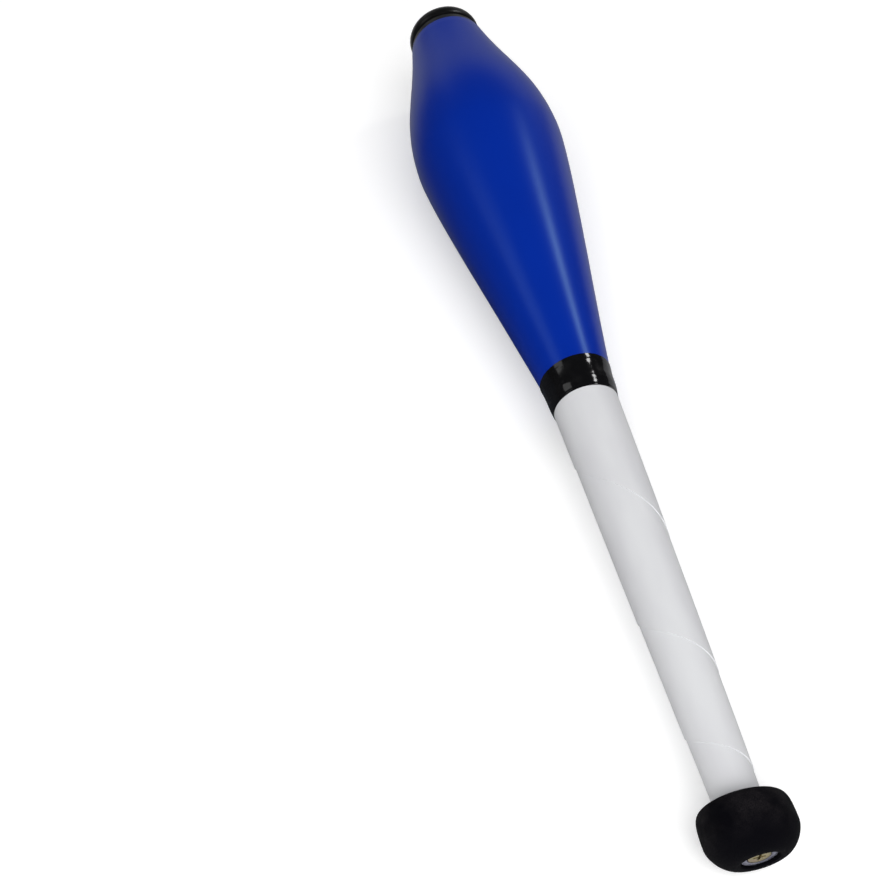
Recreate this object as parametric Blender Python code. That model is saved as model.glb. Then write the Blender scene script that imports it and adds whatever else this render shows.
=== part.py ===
"""A juggling club lying on its side. A wooden dowel carries a foam knob, a grip of wound film over a foam
sleeve, a hollow moulded body and a rubber crown cap, with a screw and a washer at each end.

Units are metres. Every piece is turned about the club's own axis, where heights run from the knob's end,
at 0, to the crown. The club is then laid down with knob and belly on the ground and its crown towards +Y."""

import math

import bmesh
import bpy

for leftover in list(bpy.data.objects):
    bpy.data.objects.remove(leftover, do_unlink=True)

# Driving dimensions: fits, and lengths along the axis that add up to the whole club
FIT_GAP = 0.0003  # clearance between neighbouring pieces
KNOB_BELOW_WIDEST = 0.0103
KNOB_ABOVE_WIDEST = 0.0119
GRIP_LENGTH = 0.2110  # from the knob to the body's neck
BODY_BELOW_BELLY = 0.1758
BODY_ABOVE_BELLY = 0.0968
CAP_HEIGHT = 0.0142  # above the body

# Driving dimensions: dowel, screws and washers
DOWEL_RADIUS = 0.0065
SCREW_LENGTH = 0.0280  # with its countersunk head
SCREW_RADIUS = 0.0020
SCREW_POINT_LENGTH = 0.0040
SCREW_HEAD_RADIUS = 0.0046
SCREW_HEAD_RIM = 0.0003  # straight side of the head, above its cone
CROSS_LENGTH = 0.0050  # cross recess in the head
CROSS_WIDTH = 0.0011
CROSS_DEPTH = 0.0014
WASHER_RADIUS = 0.0075
WASHER_THICKNESS = 0.0010
WASHER_MARGIN = 0.0005  # room round a washer in its recess
WASHER_SINK = 0.0010  # from an end face of the club in to its washer

# Driving dimensions: knob
KNOB_RADIUS = 0.0193
KNOB_FACE_WIDTH = 0.0015  # flat ring round the recess in the knob's end
KNOB_LIP_WIDTH = 0.0043  # flat ring round the film on the knob's top
KNOB_WEB = 0.0040  # foam between the washer and the dowel's end

# Driving dimensions: grip
FOAM_AT_KNOB = 0.0016  # thickness of the foam sleeve where the grip is thinnest
FILM_THICKNESS = 0.0008
FILM_STEP = 0.0004  # height of the film's edge over the turn below it
FILM_SEAT_DEPTH = 0.0040  # length of film inside the knob
FILM_EDGE_HEIGHT = 0.0205  # above the knob, where the film's edge crosses the club's upper side
FILM_PITCH = 0.0483  # climb of the edge in one turn from there
FILM_PITCH_GROWTH = 1.561  # each turn's climb over that of the turn before
GRIP_SWELL = 0.0004  # how far the grip's middle stands past a straight taper
GRIP_NECK_RADIUS = 0.0156

# Driving dimensions: body, neck and tape
BELLY_RADIUS = 0.0404
CROWN_RADIUS = 0.0216
NECK_SLOPE = 0.06
CROWN_SLOPE = -0.194
BODY_WALL = 0.0015
BUSH_IN_GRIP = 0.0180
BUSH_IN_BODY = 0.0240
TAPE_ON_GRIP = 0.0067
TAPE_ON_BODY = 0.0114
TAPE_THICKNESS = 0.0003

# Driving dimensions: crown cap
CAP_COLLAR_HEIGHT = 0.0044
CAP_COLLAR_INSET = 0.0008  # how far the collar lies inside the body's edge
CAP_GROOVE_WIDTH = 0.0010
CAP_GROOVE_DEPTH = 0.0013
CAP_BEAD_INSET = 0.0001  # how far the bead's widest ring lies inside the collar
CAP_BEAD_DROP = 0.0057  # from the crown's end to the bead's widest ring
CAP_BEAD_ROUNDING = 0.0041  # from the bead's widest ring in to the flat end
CAP_SPIGOT_DEPTH = 0.0100  # inside the body
CAP_WEB = 0.0060  # rubber between the washer and the dowel's end

# Fullness of rounded corners: 0.55 is a round curve, and 1 would be a square corner
KNOB_END_FULLNESS = 0.45
KNOB_TOP_FULLNESS = 0.86
CAP_BEAD_FULLNESS = 0.57

# Share of its stretch for which the body's outline keeps the direction that it has at an end
NECK_EASE = 0.120
BELLY_EASE_BELOW = 0.140
BELLY_EASE_ABOVE = 0.380
CROWN_EASE = 0.479

# Mesh resolution
SEGMENTS = 32  # flats round each piece
CURVE_STEPS = 12  # straight stretches in each curve of an outline
SHARP_ANGLE = math.radians(35)
WELD_DISTANCE = 1e-7
FULL_TURN = 2 * math.pi

# Heights that several pieces share
KNOB_HEIGHT = KNOB_BELOW_WIDEST + KNOB_ABOVE_WIDEST
NECK_HEIGHT = KNOB_HEIGHT + GRIP_LENGTH
BELLY_HEIGHT = NECK_HEIGHT + BODY_BELOW_BELLY
BODY_HIGH = BELLY_HEIGHT + BODY_ABOVE_BELLY
CLUB_LENGTH = BODY_HIGH + CAP_HEIGHT
RECESS_DEPTH = WASHER_SINK + WASHER_THICKNESS + FIT_GAP
KNOB_RECESS_FLOOR = RECESS_DEPTH
CROWN_RECESS_FLOOR = CLUB_LENGTH - RECESS_DEPTH
KNOB_SOCKET_FLOOR = KNOB_RECESS_FLOOR + KNOB_WEB
CROWN_SOCKET_FLOOR = CROWN_RECESS_FLOOR - CAP_WEB
FILM_SEAT_FLOOR = KNOB_HEIGHT - FILM_SEAT_DEPTH
FILM_LOW = FILM_SEAT_FLOOR + FIT_GAP
FILM_HIGH = NECK_HEIGHT - FIT_GAP
BUSH_LOW = NECK_HEIGHT - BUSH_IN_GRIP

# Radii that several pieces share
SCREW_HOLE = SCREW_RADIUS + FIT_GAP
SINK_HOLE = SCREW_HEAD_RADIUS + FIT_GAP * math.sqrt(2)  # its cone of 90 degrees then has that gap
DOWEL_SOCKET = DOWEL_RADIUS + FIT_GAP
RECESS_RADIUS = WASHER_RADIUS + WASHER_MARGIN
GRIP_KNOB_RADIUS = DOWEL_SOCKET + FOAM_AT_KNOB + FIT_GAP + FILM_THICKNESS
FILM_SEAT_RADIUS = GRIP_KNOB_RADIUS + FILM_STEP + FIT_GAP
NECK_RADIUS = GRIP_NECK_RADIUS + FILM_STEP  # the body's neck is flush with the film

# Countersunk hole for a screw's head, which goes on below its washer
SINK_DEPTH = WASHER_SINK + SCREW_HEAD_RIM + SINK_HOLE - SCREW_HOLE  # from an end face to the cone's end
WASHER_BORE = SINK_HOLE + SCREW_HEAD_RIM - WASHER_THICKNESS  # at the washer's inner face
FLOOR_BORE = WASHER_BORE - FIT_GAP  # at the recess's floor


def finish(name, colour, roughness, metallic=0.0):
    """A plain material of one colour."""
    material = bpy.data.materials.new(name)
    material.use_nodes = True
    shader = material.node_tree.nodes["Principled BSDF"]
    shader.inputs["Base Color"].default_value = (*colour, 1.0)
    shader.inputs["Roughness"].default_value = roughness
    shader.inputs["Metallic"].default_value = metallic
    return material


club_axis = bpy.data.objects.new("club_axis", None)
bpy.context.collection.objects.link(club_axis)


def piece(name, shape, material):
    """Makes a bmesh an object on the club's axis, its faces outward and its round sides smooth."""
    bmesh.ops.remove_doubles(shape, verts=shape.verts, dist=WELD_DISTANCE)
    bmesh.ops.recalc_face_normals(shape, faces=shape.faces)
    mesh = bpy.data.meshes.new(name)
    shape.to_mesh(mesh)
    shape.free()
    mesh.shade_smooth()
    mesh.set_sharp_from_angle(angle=SHARP_ANGLE)
    mesh.materials.append(material)
    made = bpy.data.objects.new(name, mesh)
    made.parent = club_axis
    bpy.context.collection.objects.link(made)
    return made


def turned(name, outline, material):
    """Turns (radius, height) points about the axis. An outline that starts on the axis also ends there,
    and any other is closed into a ring."""
    shape = bmesh.new()
    start = math.pi / SEGMENTS  # half a flat, so that a flat faces down
    points = [shape.verts.new((r * math.cos(start), r * math.sin(start), h)) for r, h in outline]
    pairs = list(zip(points, points[1:]))
    if outline[0][0] > 0:
        pairs.append((points[-1], points[0]))
    wire = [shape.edges.new(pair) for pair in pairs]
    bmesh.ops.spin(
        shape, geom=points + wire, axis=(0, 0, 1), cent=(0, 0, 0), angle=FULL_TURN, steps=SEGMENTS
    )
    return piece(name, shape, material)


def curve(start, start_handle, end_handle, end):
    """Points of a cubic curve from start to end."""
    points = []
    for step in range(CURVE_STEPS + 1):
        t = step / CURVE_STEPS
        weights = ((1 - t) ** 3, 3 * t * (1 - t) ** 2, 3 * t * t * (1 - t), t**3)
        corners = (start, start_handle, end_handle, end)
        points.append(tuple(sum(w * p[i] for w, p in zip(weights, corners)) for i in (0, 1)))
    return points


def corner(start, end, fullness):
    """A rounded corner that leaves start along the radius and reaches end along the axis."""
    start_handle = (start[0] + fullness * (end[0] - start[0]), start[1])
    end_handle = (end[0], end[1] + fullness * (start[1] - end[1]))
    return curve(start, start_handle, end_handle, end)


def radius_at(outline, height):
    """Radius of a rising outline at this height."""
    for (r0, h0), (r1, h1) in zip(outline, outline[1:]):
        if h0 <= height <= h1:
            return r0 + (r1 - r0) * (height - h0) / (h1 - h0)
    raise ValueError(f"the outline has no point at height {height}")


# Core dowel: turned hardwood, with a pilot hole for the screw in each end
WOOD = finish("beech_wood", (0.55, 0.36, 0.19), 0.6)
dowel_low = KNOB_SOCKET_FLOOR + FIT_GAP
dowel_high = CROWN_SOCKET_FLOOR - FIT_GAP
knob_pilot_end = WASHER_SINK + SCREW_LENGTH + FIT_GAP
crown_pilot_end = CLUB_LENGTH - knob_pilot_end
turned(
    "core_dowel",
    [
        (0, crown_pilot_end),
        (SCREW_HOLE, crown_pilot_end),
        (SCREW_HOLE, dowel_high),
        (DOWEL_RADIUS, dowel_high),
        (DOWEL_RADIUS, dowel_low),
        (SCREW_HOLE, dowel_low),
        (SCREW_HOLE, knob_pilot_end),
        (0, knob_pilot_end),
    ],
    WOOD,
)

# Knob: foam rubber, with a seat for the film, a socket for the dowel and a recess for the washer
FOAM_RUBBER = finish("black_foam_rubber", (0.010, 0.010, 0.011), 0.85)
knob_widest = (KNOB_RADIUS, KNOB_BELOW_WIDEST)
knob_side = corner((RECESS_RADIUS + KNOB_FACE_WIDTH, 0), knob_widest, KNOB_END_FULLNESS)
knob_top = corner((FILM_SEAT_RADIUS + KNOB_LIP_WIDTH, KNOB_HEIGHT), knob_widest, KNOB_TOP_FULLNESS)
turned(
    "knob",
    knob_side
    + knob_top[-2::-1]
    + [
        (FILM_SEAT_RADIUS, KNOB_HEIGHT),
        (FILM_SEAT_RADIUS, FILM_SEAT_FLOOR),
        (DOWEL_SOCKET, FILM_SEAT_FLOOR),
        (DOWEL_SOCKET, KNOB_SOCKET_FLOOR),
        (SCREW_HOLE, KNOB_SOCKET_FLOOR),
        (SCREW_HOLE, SINK_DEPTH),
        (FLOOR_BORE, KNOB_RECESS_FLOOR),
        (RECESS_RADIUS, KNOB_RECESS_FLOOR),
        (RECESS_RADIUS, 0),
    ],
    FOAM_RUBBER,
)

# Washers: one on the floor of the knob's recess and one in the crown cap's, countersunk for the screws
ZINC = finish("bright_zinc", (0.62, 0.64, 0.70), 0.3, 1.0)
knob_face = WASHER_SINK
crown_face = CLUB_LENGTH - WASHER_SINK
for washer_name, face, inward in (("knob_washer", knob_face, 1), ("crown_washer", crown_face, -1)):
    back = face + inward * WASHER_THICKNESS
    turned(
        washer_name,
        [
            (SINK_HOLE, face + inward * SCREW_HEAD_RIM),
            (SINK_HOLE, face),
            (WASHER_RADIUS, face),
            (WASHER_RADIUS, back),
            (WASHER_BORE, back),
        ],
        ZINC,
    )

# Screws: countersunk, with a cross recess, each flush with its washer and biting into the dowel
YELLOW_ZINC = finish("yellow_zinc", (0.66, 0.52, 0.22), 0.32, 1.0)


def cross_cutter(fastener):
    """A plus-shaped prism that sinks the cross recess into the face of a screw's head."""
    half_length = CROSS_LENGTH / 2
    half_width = CROSS_WIDTH / 2
    arm = [(half_length, -half_width), (half_length, half_width), (half_width, half_width)]
    outline = []
    for quarter in range(4):
        for x, y in arm:
            for _ in range(quarter):
                x, y = -y, x
            outline.append((x, y, -CROSS_DEPTH))
    shape = bmesh.new()
    floor = shape.faces.new([shape.verts.new(point) for point in outline])
    raised = bmesh.ops.extrude_face_region(shape, geom=[floor])["geom"]
    top = [element for element in raised if isinstance(element, bmesh.types.BMVert)]
    bmesh.ops.translate(shape, verts=top, vec=(0, 0, 2 * CROSS_DEPTH))
    cutter = piece(fastener.name + "_cutter", shape, YELLOW_ZINC)
    cutter.parent = fastener
    cutter.hide_render = True
    cutter.display_type = "WIRE"
    return cutter


def screw(name, face, turn):
    """A screw with the face of its head at this height, turned over about X by this angle."""
    cone_end = SCREW_HEAD_RIM + SCREW_HEAD_RADIUS - SCREW_RADIUS
    outline = [
        (0, 0),
        (SCREW_HEAD_RADIUS, 0),
        (SCREW_HEAD_RADIUS, -SCREW_HEAD_RIM),
        (SCREW_RADIUS, -cone_end),
        (SCREW_RADIUS, SCREW_POINT_LENGTH - SCREW_LENGTH),
        (0, -SCREW_LENGTH),
    ]
    made = turned(name, outline, YELLOW_ZINC)
    made.location.z = face
    made.rotation_euler.x = turn
    cut = made.modifiers.new("cross_recess", "BOOLEAN")
    cut.operation = "DIFFERENCE"
    cut.object = cross_cutter(made)


screw("knob_screw", knob_face, math.pi)
screw("crown_screw", crown_face, 0)

# Shape of the grip, which bush, foam, film and tape follow
GRIP_TAPER = (GRIP_NECK_RADIUS - GRIP_KNOB_RADIUS) / GRIP_LENGTH


def grip_cone(height):
    """Radius of the grip's straight taper from knob to neck."""
    return GRIP_KNOB_RADIUS + GRIP_TAPER * (height - KNOB_HEIGHT)


def grip_radius(height):
    """Outer radius of the grip, without the film's steps."""
    share = (height - KNOB_HEIGHT) / GRIP_LENGTH
    return grip_cone(height) + 4 * share * (1 - share) * GRIP_SWELL


def film_bore(height):
    """Inner radius of the film."""
    return grip_cone(height) - FILM_THICKNESS


# Neck bush: fills the space round the dowel where film and body meet
BUSH_FOAM = finish("grey_bush", (0.30, 0.30, 0.31), 0.8)
bush_in_body_radius = NECK_RADIUS - BODY_WALL - FIT_GAP
turned(
    "neck_bush",
    [
        (DOWEL_SOCKET, NECK_HEIGHT + BUSH_IN_BODY),
        (bush_in_body_radius, NECK_HEIGHT + BUSH_IN_BODY),
        (bush_in_body_radius, FILM_HIGH),
        (film_bore(FILM_HIGH) - FIT_GAP, FILM_HIGH),
        (film_bore(BUSH_LOW) - FIT_GAP, BUSH_LOW),
        (DOWEL_SOCKET, BUSH_LOW),
    ],
    BUSH_FOAM,
)

# Handle foam: tapered sleeve between the dowel and the film
FOAM = finish("white_foam", (0.75, 0.75, 0.73), 0.9)
foam_high = BUSH_LOW - FIT_GAP
turned(
    "handle_foam",
    [
        (DOWEL_SOCKET, foam_high),
        (film_bore(foam_high) - FIT_GAP, foam_high),
        (film_bore(FILM_LOW) - FIT_GAP, FILM_LOW),
        (DOWEL_SOCKET, FILM_LOW),
    ],
    FOAM,
)

# Handle wrap: plastic film wound up the grip, each turn lying with its lower edge over the turn below
FILM = finish("white_film", (0.68, 0.68, 0.69), 0.45)
edge_start = KNOB_HEIGHT + FILM_EDGE_HEIGHT
edge_rate = FILM_PITCH / (FILM_PITCH_GROWTH - 1)


def film_edge_height(turns):
    """Height of the film's edge after this many turns from the club's upper side."""
    return edge_start + edge_rate * (FILM_PITCH_GROWTH**turns - 1)


def turns_to(height):
    """Turns from the club's upper side until the film's edge reaches this height."""
    return math.log(1 + (height - edge_start) / edge_rate, FILM_PITCH_GROWTH)


first_turn = math.floor(turns_to(FILM_LOW))
last_turn = math.ceil(turns_to(FILM_HIGH))


def film_outline(part_turn):
    """The film's outer side this far round from the club's upper side, bottom to top, with two
    (radius, height) points for each turn. A turn past an end of the film repeats that end's point."""
    edges = [film_edge_height(turn + part_turn) for turn in range(first_turn - 1, last_turn + 1)]
    shown = []
    hidden_below = 0
    for lower, upper in zip(edges, edges[1:]):
        if upper <= FILM_LOW:
            hidden_below += 2
        elif lower < FILM_HIGH:
            for height in (max(lower, FILM_LOW), min(upper, FILM_HIGH)):
                proud = FILM_STEP * (upper - height) / (upper - lower)
                shown.append((grip_radius(height) + proud, height))
    hidden_above = 2 * (len(edges) - 1) - hidden_below - len(shown)
    return [shown[0]] * hidden_below + shown + [shown[-1]] * hidden_above


film = bmesh.new()
bore_low = (film_bore(FILM_LOW), FILM_LOW)
bore_high = (film_bore(FILM_HIGH), FILM_HIGH)
columns = []
for flat in range(SEGMENTS + 1):
    part_turn = (flat + 0.5) / SEGMENTS
    angle = part_turn * FULL_TURN
    outline = [bore_low, *film_outline(part_turn), bore_high]
    columns.append([film.verts.new((-r * math.sin(angle), -r * math.cos(angle), h)) for r, h in outline])
for column, neighbour in zip(columns, columns[1:]):
    for i in range(len(column)):
        film.faces.new((column[i - 1], column[i], neighbour[i], neighbour[i - 1]))
piece("handle_wrap", film, FILM)

# Body shell: blow-moulded, open at the neck and at the crown
BODY_BLUE = finish("blue_polythene", (0.001, 0.021, 0.300), 0.38)
neck_ease = NECK_EASE * BODY_BELOW_BELLY
crown_ease = CROWN_EASE * BODY_ABOVE_BELLY
body_below = curve(
    (NECK_RADIUS, NECK_HEIGHT),
    (NECK_RADIUS + NECK_SLOPE * neck_ease, NECK_HEIGHT + neck_ease),
    (BELLY_RADIUS, BELLY_HEIGHT - BELLY_EASE_BELOW * BODY_BELOW_BELLY),
    (BELLY_RADIUS, BELLY_HEIGHT),
)
body_above = curve(
    (BELLY_RADIUS, BELLY_HEIGHT),
    (BELLY_RADIUS, BELLY_HEIGHT + BELLY_EASE_ABOVE * BODY_ABOVE_BELLY),
    (CROWN_RADIUS - CROWN_SLOPE * crown_ease, BODY_HIGH - crown_ease),
    (CROWN_RADIUS, BODY_HIGH),
)
body_outside = body_below + body_above[1:]
body_inside = [(r - BODY_WALL, h) for r, h in reversed(body_outside)]
turned("body_shell", body_outside + body_inside, BODY_BLUE)

# Tape band: glossy tape wound over the joint of film and body
TAPE = finish("black_tape", (0.008, 0.008, 0.009), 0.22)
tape_low = NECK_HEIGHT - TAPE_ON_GRIP
tape_high = NECK_HEIGHT + TAPE_ON_BODY
tape_inside = [
    (grip_radius(tape_low) + FILM_STEP + FIT_GAP, tape_low),
    (NECK_RADIUS + FIT_GAP, NECK_HEIGHT),
    (radius_at(body_outside, tape_high) + FIT_GAP, tape_high),
]
tape_outside = [(r + TAPE_THICKNESS, h) for r, h in reversed(tape_inside)]
turned("tape_band", tape_outside + tape_inside, TAPE)

# Crown cap: moulded rubber, with a spigot inside the body and a collar, a groove and a bead outside it
CAP_RUBBER = finish("black_rubber", (0.009, 0.009, 0.010), 0.35)
collar_radius = CROWN_RADIUS - CAP_COLLAR_INSET
collar_low = BODY_HIGH + FIT_GAP
collar_high = collar_low + CAP_COLLAR_HEIGHT
groove_radius = collar_radius - CAP_GROOVE_DEPTH
groove_high = collar_high + CAP_GROOVE_WIDTH
bead_widest = (collar_radius - CAP_BEAD_INSET, CLUB_LENGTH - CAP_BEAD_DROP)
flat_end = (bead_widest[0] - CAP_BEAD_ROUNDING, CLUB_LENGTH)
bead_above = corner(flat_end, bead_widest, CAP_BEAD_FULLNESS)
bead_below = corner((groove_radius, groove_high), bead_widest, CAP_BEAD_FULLNESS)
spigot_radius = CROWN_RADIUS - BODY_WALL - FIT_GAP
spigot_low = BODY_HIGH - CAP_SPIGOT_DEPTH
turned(
    "crown_cap",
    bead_above
    + bead_below[-2::-1]
    + [
        (groove_radius, collar_high),
        (collar_radius, collar_high),
        (collar_radius, collar_low),
        (spigot_radius, collar_low),
        (spigot_radius, spigot_low),
        (DOWEL_SOCKET, spigot_low),
        (DOWEL_SOCKET, CROWN_SOCKET_FLOOR),
        (SCREW_HOLE, CROWN_SOCKET_FLOOR),
        (SCREW_HOLE, CLUB_LENGTH - SINK_DEPTH),
        (FLOOR_BORE, CROWN_RECESS_FLOOR),
        (RECESS_RADIUS, CROWN_RECESS_FLOOR),
        (RECESS_RADIUS, CLUB_LENGTH),
    ],
    CAP_RUBBER,
)

# Laying the club down: the line that touches knob and body from below becomes level
flat_share = math.cos(math.pi / SEGMENTS)  # a flat lies at this share of the radius
rise = min(
    max(flat_share * (body_r - knob_r) / (body_h - knob_h) for body_r, body_h in body_outside)
    for knob_r, knob_h in knob_side
)
club_axis.rotation_euler.x = math.atan(rise) - math.pi / 2
bpy.context.view_layer.update()
solids = [made for made in bpy.data.objects if made.data and not made.hide_render]
corners = [made.matrix_world @ vertex.co for made in solids for vertex in made.data.vertices]
for side in (0, 1):
    club_axis.location[side] = -(min(c[side] for c in corners) + max(c[side] for c in corners)) / 2
club_axis.location.z = -min(c.z for c in corners)
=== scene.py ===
"""Looks of a juggling club that lies on its belly and its knob, with the knob nearest to the camera.

Units are metres. Pieces are worked out on the club's own axis, where heights run from the knob's end, at 0,
to the crown, and turns are counted from the club's upper side towards its left."""

import math

import bmesh
import bpy
from mathutils import Matrix, Vector, noise


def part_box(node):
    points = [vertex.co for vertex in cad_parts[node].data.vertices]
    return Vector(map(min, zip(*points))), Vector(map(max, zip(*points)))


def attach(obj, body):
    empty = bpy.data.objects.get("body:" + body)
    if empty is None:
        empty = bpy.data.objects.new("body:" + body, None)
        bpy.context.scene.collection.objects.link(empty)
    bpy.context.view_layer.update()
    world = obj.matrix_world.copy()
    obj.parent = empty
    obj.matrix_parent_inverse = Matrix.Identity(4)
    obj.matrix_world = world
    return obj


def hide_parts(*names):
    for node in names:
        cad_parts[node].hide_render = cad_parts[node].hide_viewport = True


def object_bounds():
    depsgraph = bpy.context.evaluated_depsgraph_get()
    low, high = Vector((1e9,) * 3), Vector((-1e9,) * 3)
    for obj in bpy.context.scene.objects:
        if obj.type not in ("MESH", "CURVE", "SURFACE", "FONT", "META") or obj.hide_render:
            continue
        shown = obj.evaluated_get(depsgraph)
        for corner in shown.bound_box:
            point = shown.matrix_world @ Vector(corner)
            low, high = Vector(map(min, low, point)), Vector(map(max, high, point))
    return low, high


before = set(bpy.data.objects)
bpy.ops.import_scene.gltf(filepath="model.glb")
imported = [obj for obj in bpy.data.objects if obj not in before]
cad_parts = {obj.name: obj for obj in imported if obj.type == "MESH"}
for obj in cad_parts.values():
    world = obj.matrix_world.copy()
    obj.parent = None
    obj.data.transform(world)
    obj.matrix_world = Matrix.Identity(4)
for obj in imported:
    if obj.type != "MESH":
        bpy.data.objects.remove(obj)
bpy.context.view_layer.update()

# Core dowel
# A turned beech rod, sanded and left bare, that runs inside the club from the knob to the crown.
# The screws at its two ends pull the other pieces together on it.
PALE_BEECH = (0.60, 0.41, 0.23, 1.0)
DARK_BEECH = (0.46, 0.29, 0.15, 1.0)
BEECH_FLECK = (0.30, 0.17, 0.08, 1.0)
BEECH_FIBRE = 0.0007  # width of a fibre
BEECH_FLECK_WIDTH = 0.0012
BEECH_FLECK_EDGE = (0.60, 0.70)  # where in its pattern a fleck begins, and where it is full
BEECH_FLECK_STRENGTH = 0.6
BEECH_FLECK_SINK = 0.3  # depth of a fleck, as a share of the fibres' relief
BEECH_RELIEF = 0.00004
BEECH_ROUGHNESS = (0.70, -0.15)  # between the fibres, and what a fibre adds
ALONG_THE_DOWEL = (1, 1, 0.03)  # draws a pattern out along the dowel
SHORT_FLECKS = (1, 1, 0.2)


def middle(node):
    """Middle of a CAD node's box."""
    low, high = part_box(node)
    return (low + high) / 2


# The club's axis runs through the middles of its two washers, and starts at the knob's end
axis = (middle("crown_washer") - middle("knob_washer")).normalized()
knob_end_height = min(vertex.co.dot(axis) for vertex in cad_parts["knob"].data.vertices)
knob_end = middle("knob_washer") + (knob_end_height - middle("knob_washer").dot(axis)) * axis
leftward = Vector((-1, 0, 0))
upward = axis.cross(leftward)
club = Matrix.Translation(knob_end) @ Matrix((leftward, upward, axis)).transposed().to_4x4()


class Shade:
    """A socket in a material's nodes. Sums on it add Math nodes, and node adds a node of any other kind."""

    def __init__(self, socket):
        self.socket = socket

    def node(self, kind, settings, sockets, output=0):
        """Adds a node, makes its settings, then sets or links its sockets. Gives one of its outputs."""
        tree = self.socket.id_data
        added = tree.nodes.new(kind)
        for name, value in settings.items():
            setattr(added, name, value)
        for name, value in sockets.items():
            if isinstance(value, Shade):
                tree.links.new(value.socket, added.inputs[name])
            else:
                added.inputs[name].default_value = value
        return Shade(added.outputs[output]) if added.outputs else None

    def sum(self, operation, *values):
        return self.node("ShaderNodeMath", {"operation": operation}, dict(enumerate(values)))

    def __add__(self, other):
        return self.sum("ADD", self, other)

    def __sub__(self, other):
        return self.sum("SUBTRACT", self, other)

    def __rsub__(self, other):
        return self.sum("SUBTRACT", other, self)

    def __mul__(self, other):
        return self.sum("MULTIPLY", self, other)

    __radd__ = __add__
    __rmul__ = __mul__


def stretched(point, factors):
    """The point with each side multiplied, which draws a pattern out where the factor is small."""
    return point.node("ShaderNodeVectorMath", {"operation": "MULTIPLY"}, {0: point, 1: factors})


def cloud(point, size, detail=2.0):
    """Soft patches of about this size, from 0 to 1."""
    return point.node("ShaderNodeTexNoise", {}, {"Vector": point, "Scale": 1 / size, "Detail": detail})


def rise(amount, low, high):
    """A smooth climb from 0, where the amount is low, to 1, where it is high."""
    sockets = {"Value": amount, "From Min": low, "From Max": high}
    return amount.node("ShaderNodeMapRange", {"interpolation_type": "SMOOTHSTEP"}, sockets)


def blend(amount, first, second):
    """The first colour where the amount is 0, and the second where it is 1."""
    # A Mix node has several sockets of one name, so its colours are told by their numbers
    return amount.node("ShaderNodeMix", {"data_type": "RGBA"}, {0: amount, 6: first, 7: second}, 2)


def relief(height, depth):
    """Bumps this deep in metres, from a height between 0 and 1."""
    return height.node("ShaderNodeBump", {}, {"Distance": depth, "Height": height})


def rough(amounts, *patterns):
    """A finish's own roughness, with what each of its patterns adds."""
    total, *added = amounts
    for amount, pattern in zip(added, patterns):
        total = total + amount * pattern
    return total


def finish(name, recipe, constants):
    """A material. The recipe works out what changes over the surface from the point on the club's axis."""
    material = bpy.data.materials.new(name)
    material.use_nodes = True
    material.node_tree.nodes.clear()
    place = Shade(material.node_tree.nodes.new("ShaderNodeTexCoord").outputs["Object"])
    from_axis = {"Vector": place, "Location": knob_end, "Rotation": club.to_euler()}
    point = place.node("ShaderNodeMapping", {"vector_type": "TEXTURE"}, from_axis)
    shader = point.node("ShaderNodeBsdfPrincipled", {}, {**constants, **recipe(point)})
    point.node("ShaderNodeOutputMaterial", {}, {"Surface": shader})
    return material


def bare_beech(point):
    fibre = cloud(stretched(point, ALONG_THE_DOWEL), BEECH_FIBRE)
    fleck = rise(cloud(stretched(point, SHORT_FLECKS), BEECH_FLECK_WIDTH), *BEECH_FLECK_EDGE)
    return {
        "Base Color": blend(BEECH_FLECK_STRENGTH * fleck, blend(fibre, DARK_BEECH, PALE_BEECH), BEECH_FLECK),
        "Roughness": rough(BEECH_ROUGHNESS, fibre),
        "Normal": relief(fibre - BEECH_FLECK_SINK * fleck, BEECH_RELIEF),
    }


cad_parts["core_dowel"].data.materials[0] = finish("bare_beech", bare_beech, {})

# Grip foam
# A tapered sleeve of white closed-cell foam between the dowel and the film, slit and pushed over the dowel.
# It gives the grip its thickness and its softness.
FOAM_WHITE = (0.78, 0.78, 0.75, 1.0)
FOAM_SHADOW = (0.62, 0.61, 0.58, 1.0)
FOAM_CELL = 0.0009
FOAM_CELL_DEPTH = 0.00015
FOAM_CELL_EDGE = (0.3, 0.9)  # where a cell's shadow begins, and where it is full
FOAM_PATCH = 0.011
FOAM_ROUGHNESS = (0.80, 0.15)  # of the foam, and what a patch adds


def cells(point, size):
    """Round cells of this size, 0 in the middle of each and rising to its edge."""
    return point.node("ShaderNodeTexVoronoi", {}, {"Vector": point, "Scale": 1 / size})


def closed_cell_foam(point):
    cell = cells(point, FOAM_CELL)
    patch = cloud(point, FOAM_PATCH)
    return {
        "Base Color": blend(rise(cell, *FOAM_CELL_EDGE) * patch, FOAM_WHITE, FOAM_SHADOW),
        "Roughness": rough(FOAM_ROUGHNESS, patch),
        "Normal": relief(cell, FOAM_CELL_DEPTH),
    }


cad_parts["handle_foam"].data.materials[0] = finish("closed_cell_foam", closed_cell_foam, {})

# Neck bush
# A bush of firm grey moulded foam, pressed over the dowel where the grip meets the body.
# It centres the body's neck and the end of the film.
BUSH_GREY = (0.30, 0.30, 0.31, 1.0)
BUSH_DARK = (0.20, 0.20, 0.21, 1.0)
BUSH_GRAIN = 0.0005
BUSH_GRAIN_DEPTH = 0.00008
BUSH_PATCH = 0.008
BUSH_PATCH_SHARE = 0.4  # how far a patch counts beside the grain
BUSH_TONE = (0.5, 0.9)  # where grain and patch are dark, and where they are grey
BUSH_ROUGHNESS = (0.70, 0.20)  # of the bush, and what its grain adds


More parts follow.
